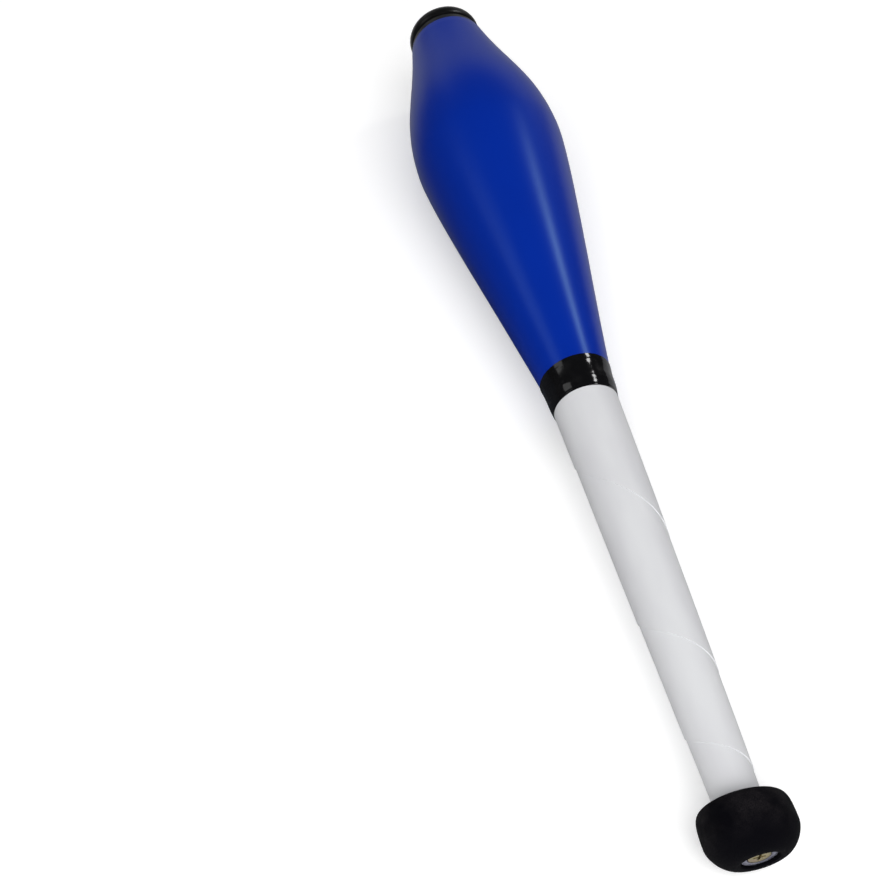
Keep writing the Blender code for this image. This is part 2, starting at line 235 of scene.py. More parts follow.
def firm_foam(point):
    grain = cloud(point, BUSH_GRAIN)
    patch = cloud(point, BUSH_PATCH)
    return {
        "Base Color": blend(rise(grain + BUSH_PATCH_SHARE * patch, *BUSH_TONE), BUSH_DARK, BUSH_GREY),
        "Roughness": rough(BUSH_ROUGHNESS, grain),
        "Normal": relief(grain, BUSH_GRAIN_DEPTH),
    }


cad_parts["neck_bush"].data.materials[0] = finish("firm_foam", firm_foam, {})

# Knob
# A mushroom of black foam rubber with a velvety skin, moulded in one piece and pushed over the dowel's end.
# A screw holds it, sunk with its washer in a round recess in the knob's end.
KNOB_END_FULLNESS = 0.45  # 0.55 is a round curve, and 1 would be a square corner
KNOB_TOP_FULLNESS = 0.86
KNOB_RECESS_ROUNDING = 0.0006
KNOB_LIP_ROUNDING = 0.0012
KNOB_LEAN = 0.055  # the soft shoulder stands this share higher on the left, and lower on the right
KNOB_BULGE = 0.0010  # the squeezed foam stands out this far over the washer, on the upper side
KNOB_BULGE_REACH = 0.006
KNOB_UNEVENNESS = 0.00015  # how far the soft skin strays from true
KNOB_WAVE = 0.012  # length of such a stray
KNOB_BLACK = (0.0020, 0.0019, 0.0033, 1.0)
KNOB_RUBBED = (0.0155, 0.0134, 0.0152, 1.0)
KNOB_NAP = 0.00035  # grain of the skin
KNOB_NAP_DEPTH = 0.00010
KNOB_NAP_DETAIL = 3.0
KNOB_NAP_EDGE = (0.3, 0.7)  # where the nap stays black, and where rubbing shows in full
# The rubbed patches are wear. They fade in above the knob's end, and the darker end is painted shade.
KNOB_RUB = 0.0085  # size of a rubbed patch
KNOB_RUB_EDGE = (0.32, 0.68)  # where in its pattern a rubbed patch begins, and where it is full
KNOB_END_SHADE_FADE_START = 0.002  # above the knob's end, which keeps its black as painted shade
KNOB_END_SHADE_FADE_END = 0.014
KNOB_ROUGHNESS = (0.94, -0.14)  # of the skin, and what rubbing adds
KNOB_SPECULAR = 0.12
KNOB_SHEEN = 0.006
KNOB_SHEEN_ROUGHNESS = 0.5
ROUND_SIDES = 192  # columns round each turned piece
CURVE_STEPS = 24
CORNER_STEPS = 5
NEAR = 1e-5  # two measured heights or radii this close are the same
FULL_TURN = 2 * math.pi
LEFT_TURN = 0.25
SHARP_ANGLE = math.radians(50)
WELD_DISTANCE = 1e-7


def outline_of(node):
    """(radius, height) of a CAD node's corners on the club's axis."""
    to_axis = club.inverted()
    corners = [to_axis @ vertex.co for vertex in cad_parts[node].data.vertices]
    return [(math.hypot(corner.x, corner.y), corner.z) for corner in corners]


def ends_of(outline):
    """Lowest and highest height of an outline."""
    heights = [height for radius, height in outline]
    return min(heights), max(heights)


def ring_radii(outline, height):
    """Smallest and largest radius of an outline's corners at this height."""
    radii = [r for r, h in outline if abs(h - height) < NEAR]
    return min(radii), max(radii)


def heights_at(outline, radius):
    """Lowest and highest height of an outline's corners at this radius."""
    return ends_of([(r, h) for r, h in outline if abs(r - radius) < NEAR])


def curve(start, start_handle, end_handle, end):
    """Points of a cubic curve from start to end."""
    points = []
    for step in range(CURVE_STEPS + 1):
        t = step / CURVE_STEPS
        weights = ((1 - t) ** 3, 3 * t * (1 - t) ** 2, 3 * t * t * (1 - t), t**3)
        handles = (start, start_handle, end_handle, end)
        points.append(tuple(sum(w * p[i] for w, p in zip(weights, handles)) for i in (0, 1)))
    return points


def corner(start, end, fullness):
    """A rounded corner that leaves start along the radius and reaches end along the axis."""
    start_handle = (start[0] + fullness * (end[0] - start[0]), start[1])
    end_handle = (end[0], end[1] + fullness * (start[1] - end[1]))
    return curve(start, start_handle, end_handle, end)


def eased(before, tip, after, reach):
    """Rounds the tip of an outline, from this far before it to this far after it."""
    tip = Vector(tip)
    start = tip + reach * (Vector(before) - tip).normalized()
    end = tip + reach * (Vector(after) - tip).normalized()
    shares = [step / CORNER_STEPS for step in range(CORNER_STEPS + 1)]
    return [tuple((1 - t) ** 2 * start + 2 * t * (1 - t) * tip + t * t * end) for t in shares]


def laid(name, skin, material):
    """Makes a bmesh on the club's axis an object that lies where the club does."""
    bmesh.ops.recalc_face_normals(skin, faces=skin.faces)
    mesh = bpy.data.meshes.new(name)
    skin.to_mesh(mesh)
    skin.free()
    mesh.transform(club)
    mesh.shade_smooth()
    mesh.set_sharp_from_angle(angle=SHARP_ANGLE)
    mesh.materials.append(material)
    made = bpy.data.objects.new(name, mesh)
    bpy.context.scene.collection.objects.link(made)
    return made


def wound(name, outline_at, material, sides=ROUND_SIDES):
    """A closed skin round the club's axis. outline_at gives the closed outline's (radius, height) points
    at a part of a turn, as many at each. The last column is welded to the first."""
    skin = bmesh.new()
    columns = []
    for side in range(sides + 1):
        angle = FULL_TURN * side / sides
        ring = [(r * math.sin(angle), r * math.cos(angle), h) for r, h in outline_at(side / sides)]
        columns.append([skin.verts.new(point) for point in ring])
    for column, following in zip(columns, columns[1:]):
        for j in range(len(column)):
            skin.faces.new((column[j - 1], column[j], following[j], following[j - 1]))
    bmesh.ops.remove_doubles(skin, verts=skin.verts, dist=WELD_DISTANCE)
    bmesh.ops.dissolve_degenerate(skin, edges=skin.edges, dist=WELD_DISTANCE)
    bare_edges = [edge for edge in skin.edges if not edge.link_faces]
    bmesh.ops.delete(skin, geom=bare_edges, context="EDGES")
    return laid(name, skin, material)


def stray(radius, height, part_turn, wave, amount):
    """How far an uneven skin lies outside its true outline."""
    angle = FULL_TURN * part_turn
    place = Vector((radius * math.sin(angle), radius * math.cos(angle), height))
    return amount * noise.noise(place / wave)


def uneven(outline, part_turn, wave, amount):
    """The outline with its radii astray by up to the amount."""
    return [(r + stray(r, h, part_turn, wave, amount), h) for r, h in outline]


knob_corners = outline_of("knob")
knob_low, knob_high = ends_of(knob_corners)
knob_recess, knob_face = ring_radii(knob_corners, knob_low)
film_seat, knob_lip = ring_radii(knob_corners, knob_high)
knob_widest = max(knob_corners)
knob_recess_floor = heights_at(knob_corners, knob_recess)[1]
floor_bore = ring_radii(knob_corners, knob_recess_floor)[0]
film_seat_floor = heights_at(knob_corners, film_seat)[0]
dowel_hole = ring_radii(knob_corners, film_seat_floor)[0]
dowel_stop = heights_at(knob_corners, dowel_hole)[0]
screw_hole = min(knob_corners)[0]
knob_sink_end = heights_at(knob_corners, screw_hole)[0]
knob_side = corner((knob_face, knob_low), knob_widest, KNOB_END_FULLNESS)
knob_top = corner((knob_lip, knob_high), knob_widest, KNOB_TOP_FULLNESS)
recess_edge = (knob_recess, knob_low)
lip_edge = (film_seat, knob_high)
knob_recess_foot = (knob_recess, knob_recess_floor)
knob_inside = [(screw_hole, knob_sink_end), (floor_bore, knob_recess_floor), knob_recess_foot]
knob_rim = eased(knob_recess_foot, recess_edge, (knob_face, knob_low), KNOB_RECESS_ROUNDING) + knob_side
knob_back = [
    *knob_top[-2::-1],
    *eased((knob_lip, knob_high), lip_edge, (film_seat, film_seat_floor), KNOB_LIP_ROUNDING),
    (film_seat, film_seat_floor),
    (dowel_hole, film_seat_floor),
    (dowel_hole, dowel_stop),
    (screw_hole, dowel_stop),
]


def soft_knob(part_turn):
    """The knob's outline at this part of a turn, with its lean, its bulge and its unevenness."""
    lean = KNOB_LEAN * math.cos(FULL_TURN * (part_turn - LEFT_TURN))
    bulge = KNOB_BULGE * (1 + math.cos(FULL_TURN * part_turn)) / 2
    bulging = [(r, h - bulge * max(0.0, 1 - h / KNOB_BULGE_REACH)) for r, h in knob_rim]
    leaning = []
    for radius, height in knob_inside + bulging + knob_back:
        above = max(0.0, height - knob_widest[1])
        leaning.append((radius, height + lean * above))
    return uneven(leaning, part_turn, KNOB_WAVE, KNOB_UNEVENNESS)


def sides_of(place):
    """The x, y and z of a place or a direction."""
    return [place.node("ShaderNodeSeparateXYZ", {}, {"Vector": place}, side) for side in "XYZ"]


def velvet_foam(point):
    nap = cloud(point, KNOB_NAP, KNOB_NAP_DETAIL)
    # Painted shade: the rubbed patches fade out towards the knob's end, which stays darker
    clear_of_end_shade = rise(sides_of(point)[2], KNOB_END_SHADE_FADE_START, KNOB_END_SHADE_FADE_END)
    rubbed = rise(cloud(point, KNOB_RUB), *KNOB_RUB_EDGE) * clear_of_end_shade
    return {
        "Base Color": blend(rubbed * rise(nap, *KNOB_NAP_EDGE), KNOB_BLACK, KNOB_RUBBED),
        "Roughness": rough(KNOB_ROUGHNESS, rubbed),
        "Normal": relief(nap, KNOB_NAP_DEPTH),
    }


velvet_constants = {
    "Specular IOR Level": KNOB_SPECULAR,
    "Sheen Weight": KNOB_SHEEN,
    "Sheen Roughness": KNOB_SHEEN_ROUGHNESS,
}
knob = wound("velvet_knob", soft_knob, finish("velvet_foam", velvet_foam, velvet_constants))
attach(knob, "root")
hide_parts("knob")

# Washers
# Washers punched from sheet steel, countersunk, tumbled and plated with bright zinc.
# One lies on the floor of the knob's recess and one in the crown cap's, each round a screw's head.
WASHER_ROLLED_EDGE = 0.00035  # rounding that the punch leaves on the outer face
WASHER_SHARP_EDGE = 0.00012
ZINC = (0.40, 0.40, 0.52, 1.0)
ZINC_PALE = (0.62, 0.63, 0.74, 1.0)
ZINC_SPANGLE = 0.0016
ZINC_SPANGLE_EDGE = (0.35, 0.65)  # where a spangle is dark, and where it is pale
ZINC_SCRATCH = 0.00018
ZINC_SCRATCH_DEPTH = 0.000006
ZINC_ROUGHNESS = (0.29, 0.10, 0.06)  # of the plate, and what a spangle and a scratch add
ACROSS_THE_WASHER = (1, 0.12, 1)


def bright_zinc(point):
    spangle = cloud(point, ZINC_SPANGLE)
    scratch = cloud(stretched(point, ACROSS_THE_WASHER), ZINC_SCRATCH)
    return {
        "Base Color": blend(rise(spangle, *ZINC_SPANGLE_EDGE), ZINC, ZINC_PALE),
        "Roughness": rough(ZINC_ROUGHNESS, spangle, scratch),
        "Normal": relief(scratch, ZINC_SCRATCH_DEPTH),
    }


zinc = finish("bright_zinc", bright_zinc, {"Metallic": 1.0})


def washer(name, node, outward):
    """A washer whose outer face looks down the axis for -1 and up it for 1."""
    corners = outline_of(node)
    back, face = ends_of(corners)[::outward]
    mouth, rim = ring_radii(corners, face)
    bore = ring_radii(corners, back)[0]
    land = heights_at(corners, mouth)[::outward][0]
    ring = [(mouth, land), (mouth, face), (rim, face), (rim, back), (bore, back)]
    edges = [0.0, WASHER_SHARP_EDGE, WASHER_ROLLED_EDGE, WASHER_SHARP_EDGE, WASHER_SHARP_EDGE]
    outline = []
    for i, edge in enumerate(edges):
        outline += eased(ring[i - 1], ring[i], ring[(i + 1) % len(ring)], edge) if edge else [ring[i]]
    return wound(name, lambda part_turn: outline, zinc)


knob_washer = washer("knob_end_washer", "knob_washer", -1)
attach(knob_washer, "root")
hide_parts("knob_washer")

crown_washer = washer("crown_end_washer", "crown_washer", 1)
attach(crown_washer, "root")
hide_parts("crown_washer")

# Screws
# Countersunk wood screws of steel, rolled to a thread and plated with yellow zinc, with a cross recess.
# One goes through each washer, its head flush with it, and bites into the pilot hole in the dowel.
SCREW_EDGE = 0.00015  # rounding of the head's rim
SCREW_PITCH = 0.0016
SCREW_STEPS_IN_PITCH = 8
SCREW_THREAD_DEPTH = 0.0006
SCREW_PLAIN_SHANK = 0.0030  # below the head's cone
SCREW_POINT_LENGTH = 0.0040
SCREW_SIDES = 96
CROSS_LENGTH = 0.0050
CROSS_WIDTH = 0.0012
CROSS_DEPTH = 0.0024
CROSS_SLIVER = 2e-6  # points this close along the cut are joined
CROSS_FLOOR_SHARE = 0.35  # size of the recess at its floor, as a share of its size at the head's face
YELLOW_ZINC = (0.74, 0.62, 0.34, 1.0)
OLIVE_ZINC = (0.58, 0.54, 0.30, 1.0)
ROSE_ZINC = (0.72, 0.53, 0.42, 1.0)
PASSIVATE_PATCH = 0.0022
PASSIVATE_TINT = 0.0037
PASSIVATE_GRAIN = 0.0002
PASSIVATE_OLIVE_EDGE = (0.4, 0.65)  # where a patch is yellow, and where it is olive
PASSIVATE_ROSE_EDGE = (0.5, 0.7)
PASSIVATE_ROSE_STRENGTH = 0.7
PASSIVATE_ROUGHNESS = (0.29, 0.10, 0.06)  # of the plate, and what a patch and the grain add


def yellow_zinc(point):
    patch = cloud(point, PASSIVATE_PATCH)
    tint = cloud(point, PASSIVATE_TINT)
    grain = cloud(point, PASSIVATE_GRAIN)
    tinted = blend(rise(patch, *PASSIVATE_OLIVE_EDGE), YELLOW_ZINC, OLIVE_ZINC)
    rose = PASSIVATE_ROSE_STRENGTH * rise(tint, *PASSIVATE_ROSE_EDGE)
    return {
        "Base Color": blend(rose, tinted, ROSE_ZINC),
        "Roughness": rough(PASSIVATE_ROUGHNESS, patch, grain),
        "Normal": relief(grain, ZINC_SCRATCH_DEPTH),
    }


passivated = finish("yellow_zinc", yellow_zinc, {"Metallic": 1.0})


def cut_cross(fastener, face, outward):
    """Sinks a cross that narrows inwards into the face of a screw's head. The cutter stands as far out of
    the face as it goes in, and has the cross's own size at the face."""
    length = CROSS_LENGTH / 2
    width = CROSS_WIDTH / 2
    narrow = CROSS_FLOOR_SHARE
    wide = 2 - narrow
    cross = bmesh.new()
    outer = []
    inner = []
    for quarter in range(4):
        for x, y in ((length, -width), (length, width), (width, width)):
            for _ in range(quarter):
                x, y = -y, x
            outer.append(cross.verts.new((wide * x, wide * y, face + outward * CROSS_DEPTH)))
            inner.append(cross.verts.new((narrow * x, narrow * y, face - outward * CROSS_DEPTH)))
    cross.faces.new(outer)
    cross.faces.new(inner)
    for i in range(len(outer)):
        cross.faces.new((outer[i - 1], outer[i], inner[i], inner[i - 1]))
    cutter = laid("cross_cutter", cross, passivated)
    cut = fastener.modifiers.new("cross_recess", "BOOLEAN")
    cut.operation = "DIFFERENCE"
    cut.object = cutter
    evaluated = fastener.evaluated_get(bpy.context.evaluated_depsgraph_get())
    whole = fastener.data
    fastener.data = bpy.data.meshes.new_from_object(evaluated)
    skin = bmesh.new()
    skin.from_mesh(fastener.data)
    bmesh.ops.remove_doubles(skin, verts=skin.verts, dist=CROSS_SLIVER)
    bmesh.ops.dissolve_degenerate(skin, edges=skin.edges, dist=CROSS_SLIVER)
    skin.to_mesh(fastener.data)
    skin.free()
    fastener.data.set_sharp_from_angle(angle=SHARP_ANGLE)
    fastener.modifiers.clear()
    bpy.data.meshes.remove(whole)
    bpy.data.objects.remove(cutter, do_unlink=True)


def screw(name, node, outward):
    """A screw whose head looks down the axis for -1 and up it for 1."""
    corners = outline_of(node)
    tip, face = ends_of(corners)[::outward]
    head = max(corners)[0]
    rim = heights_at(corners, head)[::outward][0]
    length = abs(face - tip)
    shank = max(r for r, h in corners if abs(h - tip) < length / 2)
    cone_end = abs(face - heights_at(corners, shank)[::outward][1])
    steps = int((length - cone_end) / SCREW_PITCH * SCREW_STEPS_IN_PITCH)
    head_edge = eased((0, face), (head, face), (head, rim), SCREW_EDGE)

    def outline(part_turn):
        thread = []
        for step in range(steps + 1):
            down = (length - cone_end) * step / steps
            taper = min(1.0, (length - cone_end - down) / SCREW_POINT_LENGTH)
            ridge = abs(2 * ((down / SCREW_PITCH + outward * part_turn) % 1) - 1)
            cut = SCREW_THREAD_DEPTH * (1 - ridge) if down > SCREW_PLAIN_SHANK else 0
            thread.append(((shank - cut) * taper, face - outward * (cone_end + down)))
        return [(0, face), *head_edge, (head, rim), *thread]

    made = wound(name, outline, passivated, SCREW_SIDES)
    cut_cross(made, face, outward)
    return made


knob_screw = screw("knob_end_screw", "knob_screw", -1)
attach(knob_screw, "root")
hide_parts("knob_screw")

crown_screw = screw("crown_end_screw", "crown_screw", 1)
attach(crown_screw, "root")
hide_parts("crown_screw")

# Grip film
# Off-white plastic film, stuck on its back and wound up the foam from the knob, each turn with its lower
# edge over the turn below. Its start is held in the knob and its end under the tape.
FILM_THICKNESS = 0.0008
FILM_STEP = 0.0004  # height of the film's edge over the turn below it
FILM_LIP = 0.00012  # how far the cut edge is rounded over
FILM_LIP_ROWS = (0, 0.02, 0.1, 0.3, 0.6, 1.0, 1.5, 2.5, 5.0)  # rows of the mesh above the edge, in lips
FILM_EDGE_HEIGHT = 0.0205  # above the knob, where the film's edge crosses the club's upper side
FILM_PITCH = 0.0483  # climb of the edge in one turn from there
FILM_PITCH_GROWTH = 1.561  # each turn's climb over that of the turn before
FILM_STRIP_STEPS = 12
FILM_SIDES = 256
GRIP_SWELL = 0.0004  # how far the grip's middle stands past a straight taper
GRIP_WAVE = 0.022  # length of the foam's soft unevenness under the film
GRIP_UNEVENNESS = 0.00005
FILM_WHITE = (0.715, 0.722, 0.738, 1.0)
FILM_SHADE = (0.665, 0.667, 0.690, 1.0)
FILM_GRAIN = 0.0004
FILM_GRAIN_DEPTH = 0.000006
FILM_PATCH = 0.016
FILM_PATCH_EDGE = (0.3, 0.7)  # where a patch is white, and where it is shaded
FILM_ROUGHNESS = (0.42, 0.08, 0.05)  # of the film, and what a patch and its grain add
ALONG_THE_GRIP = (1, 1, 0.3)

film_corners = outline_of("handle_wrap")
film_low, film_high = ends_of(film_corners)
bore_low = ring_radii(film_corners, film_low)[0]
bore_high = ring_radii(film_corners, film_high)[0]
edge_start = knob_high + FILM_EDGE_HEIGHT
edge_rate = FILM_PITCH / (FILM_PITCH_GROWTH - 1)


def film_bore(height):
    """Inner radius of the film, a straight taper."""
    return bore_low + (bore_high - bore_low) * (height - film_low) / (film_high - film_low)


def grip_radius(height):
    """Outer radius of the grip, without the film's steps."""
    share = (height - knob_high) / (film_high - knob_high)
    return film_bore(height) + FILM_THICKNESS + 4 * share * (1 - share) * GRIP_SWELL


def film_edge(turns):
    """Height of the film's edge after this many turns from the club's upper side."""
    return edge_start + edge_rate * (FILM_PITCH_GROWTH**turns - 1)


def turns_to(height):
    """Turns from the club's upper side until the film's edge reaches this height."""
    return math.log(1 + (height - edge_start) / edge_rate, FILM_PITCH_GROWTH)


def film_radius(part_turn, height):
    """Outer radius of the film at this part of a turn, with the step of the turn that lies there."""
    turn = math.floor(turns_to(height) - part_turn) + part_turn
    lower = film_edge(turn)
    upper = film_edge(turn + 1)
    proud = FILM_STEP * (upper - height) / (upper - lower)
    lip = min(1.0, (height - lower) / FILM_LIP)
    return grip_radius(height) + proud * math.sqrt(lip * (2 - lip))


def film_outline(part_turn):
    """The film's outline at this part of a turn. A turn of the film past one of its ends gives that end."""
    points = [(bore_low, film_low)]
    for turn in range(math.floor(turns_to(film_low)) - 1, math.ceil(turns_to(film_high)) + 1):
        lower = film_edge(turn + part_turn)
        upper = film_edge(turn + 1 + part_turn)
        heights = [lower + FILM_LIP * row for row in FILM_LIP_ROWS]
        strip = upper - heights[-1]
        heights += [upper - strip * (1 - step / FILM_STRIP_STEPS) for step in range(1, FILM_STRIP_STEPS)]
        for height in heights:
            height = min(max(height, film_low), film_high)
            radius = film_radius(part_turn, height)
            points.append((radius + stray(radius, height, part_turn, GRIP_WAVE, GRIP_UNEVENNESS), height))
    return points + [(bore_high, film_high)]


def wound_film(point):
    grain = cloud(point, FILM_GRAIN)
    patch = cloud(stretched(point, ALONG_THE_GRIP), FILM_PATCH)
    return {
        "Base Color": blend(rise(patch, *FILM_PATCH_EDGE), FILM_WHITE, FILM_SHADE),
        "Roughness": rough(FILM_ROUGHNESS, patch, grain),
        "Normal": relief(grain, FILM_GRAIN_DEPTH),
    }


film = wound("grip_film", film_outline, finish("wound_film", wound_film, {}), FILM_SIDES)
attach(film, "root")
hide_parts("handle_wrap")

# Body
# A hollow polythene bulb, blow-moulded in blue, satin all over, widest near the crown.
# Its neck sits on the bush under the tape and its crown end is closed by the cap.
NECK_SLOPE = 0.06  # how fast the radius grows there, for each metre towards the crown
CROWN_SLOPE = -0.194
NECK_EASE = 0.120  # share of its stretch for which the outline keeps the direction of its end
BELLY_EASE_BELOW = 0.140
BELLY_EASE_ABOVE = 0.380
CROWN_EASE = 0.479
BODY_EDGE_ROUNDING = 0.0006
BODY_UNEVENNESS = 0.00010
BODY_WAVE = 0.045
BODY_BLUE = (0.0003, 0.0222, 0.328, 1.0)
BODY_DEEP_BLUE = (0.0002, 0.0192, 0.293, 1.0)
BODY_GLOSS = (0.42, 0.85, 1.0, 1.0)  # tint of what it reflects
BODY_PEEL = 0.0030  # size of the ripples that the mould leaves
BODY_PEEL_DEPTH = 0.000018
BODY_PATCH = 0.036
BODY_FLOW = 0.014  # width of the streaks along which the plastic was blown
BODY_FLOW_SHARE = 0.3  # how far a streak sets the blue, beside a patch
BODY_ROUGHNESS = (0.285, 0.02, 0.02)  # of the skin, and what a patch and a streak add
ALONG_THE_BODY = (1, 1, 0.25)

body_corners = outline_of("body_shell")
body_low, body_high = ends_of(body_corners)
neck_bore, neck_radius = ring_radii(body_corners, body_low)
crown_radius = ring_radii(body_corners, body_high)[1]
body_wall = neck_radius - neck_bore
belly_radius, belly_height = max(body_corners)
neck_ease = NECK_EASE * (belly_height - body_low)
crown_ease = CROWN_EASE * (body_high - belly_height)
body_below = curve(
    (neck_radius, body_low),
    (neck_radius + NECK_SLOPE * neck_ease, body_low + neck_ease),
    (belly_radius, belly_height - BELLY_EASE_BELOW * (belly_height - body_low)),
    (belly_radius, belly_height),
)
body_above = curve(
    (belly_radius, belly_height),
    (belly_radius, belly_height + BELLY_EASE_ABOVE * (body_high - belly_height)),
    (crown_radius - CROWN_SLOPE * crown_ease, body_high - crown_ease),
    (crown_radius, body_high),
)
body_outside = body_below + body_above[1:]
crown_edge = eased(body_outside[-2], body_outside[-1], (0, body_high), BODY_EDGE_ROUNDING)
body_outline = body_outside[:-1] + crown_edge + [(r - body_wall, h) for r, h in reversed(body_outside)]


def satin_polythene(point):
    peel = cloud(point, BODY_PEEL)
    patch = cloud(point, BODY_PATCH)
    flow = cloud(stretched(point, ALONG_THE_BODY), BODY_FLOW)
    depth = (1 - BODY_FLOW_SHARE) * patch + BODY_FLOW_SHARE * flow
    return {
        "Base Color": blend(depth, BODY_BLUE, BODY_DEEP_BLUE),
        "Roughness": rough(BODY_ROUGHNESS, patch, flow),
        "Normal": relief(peel, BODY_PEEL_DEPTH),
    }


body = wound(
    "moulded_body",
    lambda part_turn: uneven(body_outline, part_turn, BODY_WAVE, BODY_UNEVENNESS),
    finish("satin_polythene", satin_polythene, {"Specular Tint": BODY_GLOSS}),
)
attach(body, "root")
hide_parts("body_shell")

# Neck tape
# Glossy black vinyl tape, stretched twice round the joint of grip and body to hide and hold it.
# It climbs from the film to the body's neck, and its end sticks on the club's underside.
TAPE_LAYER = 0.00018
TAPE_SHIFT = 0.0011  # of the upper layer towards the crown
TAPE_LEDGE = 0.0002  # length over which the upper layer's edge comes down
TAPE_EDGE_WANDER = 0.00015
TAPE_LOW_WANDER = (2, 0.7)  # waves of the lower edge round the club, and where on a wave it starts
TAPE_HIGH_WANDER = (3, 2.1)
TAPE_STEPS = 60
TAPE_BRIDGE = 0.0066  # length over which it climbs from the film to the body's neck
TAPE_SWELL = 0.00030  # how far it stands off at the neck's edge
TAPE_SWELL_REACH = 0.0040
TAPE_CREASE = 0.0085  # above the neck's edge
TAPE_CREASE_REACH = 0.0006
TAPE_CREASE_DEPTH = 0.00004
TAPE_RIPPLE = 0.0050  # length of the ripples in the stretched tape
TAPE_RIPPLE_HEIGHT = 0.00010
TAPE_RIPPLE_DRAW = 0.3  # less than 1 draws the ripples out round the club
TAPE_START_TURN = 0.46
TAPE_END_TURN = 0.57
TAPE_START_RAMP = 0.015  # share of a turn over which the covered start swells
TAPE_END_RAMP = 0.004
TAPE_BLACK = (0.0034, 0.0034, 0.0040, 1.0)
TAPE_WORN = (0.0060, 0.0060, 0.0066, 1.0)
TAPE_LINE = 0.0003
TAPE_LINE_DEPTH = 0.000004
TAPE_PATCH = 0.006
TAPE_WORN_EDGE = (0.45, 0.75)  # where in its pattern a worn patch begins, and where it is full
TAPE_ROUGHNESS = (0.07, 0.04, 0.03)  # of the tape, and what a patch and a line add
ROUND_THE_TAPE = (0.1, 0.1, 1)

tape_low, tape_high = ends_of(outline_of("tape_band"))


def body_radius(height):
    """Outer radius of the body at a height below the belly."""
    for (r0, h0), (r1, h1) in zip(body_below, body_below[1:]):
        if h0 <= height <= h1:
            return r0 + (r1 - r0) * (height - h0) / (h1 - h0)
    raise ValueError(f"the body's neck has no point at height {height}")


def climb(amount, reach):
    """A smooth climb from 0 at an amount of 0 to 1 at the reach."""
    share = min(1.0, max(0.0, amount / reach))
    return share * share * (3 - 2 * share)


def hump(distance, reach):
    """1 at no distance, sinking to 0 well past the reach."""
    return math.exp(-((distance / reach) ** 2))


def under_tape(part_turn, height):
    """Inner radius of the tape. It bridges the step from the film up to the body."""
    if height >= body_low:
        return body_radius(height)
    film_side = film_radius(part_turn, min(height, film_high))
    return film_side + (neck_radius - film_side) * climb(height - body_low + TAPE_BRIDGE, TAPE_BRIDGE)


def wander(part_turn, waves, start):
    """How far an edge of the tape strays up the club at this part of a turn."""
    return TAPE_EDGE_WANDER * math.sin(waves * FULL_TURN * part_turn + start)


def tape_outline(part_turn):
    """The tape's outline at this part of a turn, from its lower edge to its upper one and back inside."""
    low = tape_low + wander(part_turn, *TAPE_LOW_WANDER)
    high = tape_high + wander(part_turn, *TAPE_HIGH_WANDER)
    overlap = climb(part_turn - TAPE_START_TURN, TAPE_START_RAMP)
    overlap *= climb(TAPE_END_TURN - part_turn, TAPE_END_RAMP)
    inside = []
    outside = []
    for step in range(TAPE_STEPS + 1):
        height = low + (high - low) * step / TAPE_STEPS
        base = under_tape(part_turn, height)
        inside.append((base, height))
        layers = 1 + climb(height - low - TAPE_SHIFT, TAPE_LEDGE) + overlap
        above = height - body_low
        crease = TAPE_CREASE_DEPTH * hump(above - TAPE_CREASE, TAPE_CREASE_REACH)
        swell = TAPE_SWELL * hump(above, TAPE_SWELL_REACH)
        ripple = stray(TAPE_RIPPLE_DRAW * base, height, part_turn, TAPE_RIPPLE, TAPE_RIPPLE_HEIGHT)
        outside.append((base + TAPE_LAYER * layers + swell - crease + ripple, height))
    return outside + inside[::-1]


def glossy_tape(point):
    line = cloud(stretched(point, ROUND_THE_TAPE), TAPE_LINE)
    patch = cloud(point, TAPE_PATCH)
    return {
        "Base Color": blend(rise(patch, *TAPE_WORN_EDGE), TAPE_BLACK, TAPE_WORN),
        "Roughness": rough(TAPE_ROUGHNESS, patch, line),
        "Normal": relief(line, TAPE_LINE_DEPTH),
    }


tape = wound("neck_tape", tape_outline, finish("glossy_tape", glossy_tape, {}), FILM_SIDES)
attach(tape, "root")
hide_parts("tape_band")

# Crown cap
# A cap of black rubber, moulded with a collar, a groove and a fat bead that takes the knocks.
# Its spigot plugs the body's open end, and the crown's screw pulls it down through a washer.
CAP_BEAD_FULLNESS = 0.57
CAP_COLLAR_TAPER = 0.17  # the collar goes on with the body's slope towards the crown
CAP_EDGE_ROUNDING = 0.00025
CAP_RECESS_ROUNDING = 0.0005
CAP_BLACK = (0.0022, 0.0023, 0.0026, 1.0)
CAP_BLOOM = (0.0085, 0.0089, 0.0085, 1.0)
CAP_GRAIN = 0.0005
CAP_GRAIN_DEPTH = 0.000014
CAP_GRAIN_DETAIL = 3.0
CAP_BLOOM_PATCH = 0.007
CAP_BLOOM_EDGE = (0.42, 0.70)  # where in its pattern the bloom begins, and where it is full
CAP_ROUGHNESS = (0.285, 0.10, 0.06)  # of the rubber, and what its bloom and its grain add
CAP_SPECULAR = 0.8

cap_corners = outline_of("crown_cap")
cap_low, cap_high = ends_of(cap_corners)
cap_recess, cap_face = ring_radii(cap_corners, cap_high)
cap_recess_floor = heights_at(cap_corners, cap_recess)[0]
cap_spigot = ring_radii(cap_corners, cap_low)[1]
collar_radius = max(cap_corners)[0]
collar_low, collar_high = heights_at(cap_corners, collar_radius)
groove_radius = ring_radii(cap_corners, collar_high)[0]
cap_bead = [(r, h) for r, h in cap_corners if h > collar_high + NEAR and r > groove_radius - NEAR]
bead_widest = max(cap_bead)
groove_high = ends_of(cap_bead)[0]
crown_stop = heights_at(cap_corners, dowel_hole)[1]
crown_sink_end = heights_at(cap_corners, screw_hole)[1]
bead_above = corner((cap_face, cap_high), bead_widest, CAP_BEAD_FULLNESS)
bead_below = corner((groove_radius, groove_high), bead_widest, CAP_BEAD_FULLNESS)
cap_recess_edge = (cap_recess, cap_high)
collar_top = (collar_radius - CAP_COLLAR_TAPER * (collar_high - collar_low), collar_high)
collar_foot = (collar_radius, collar_low)
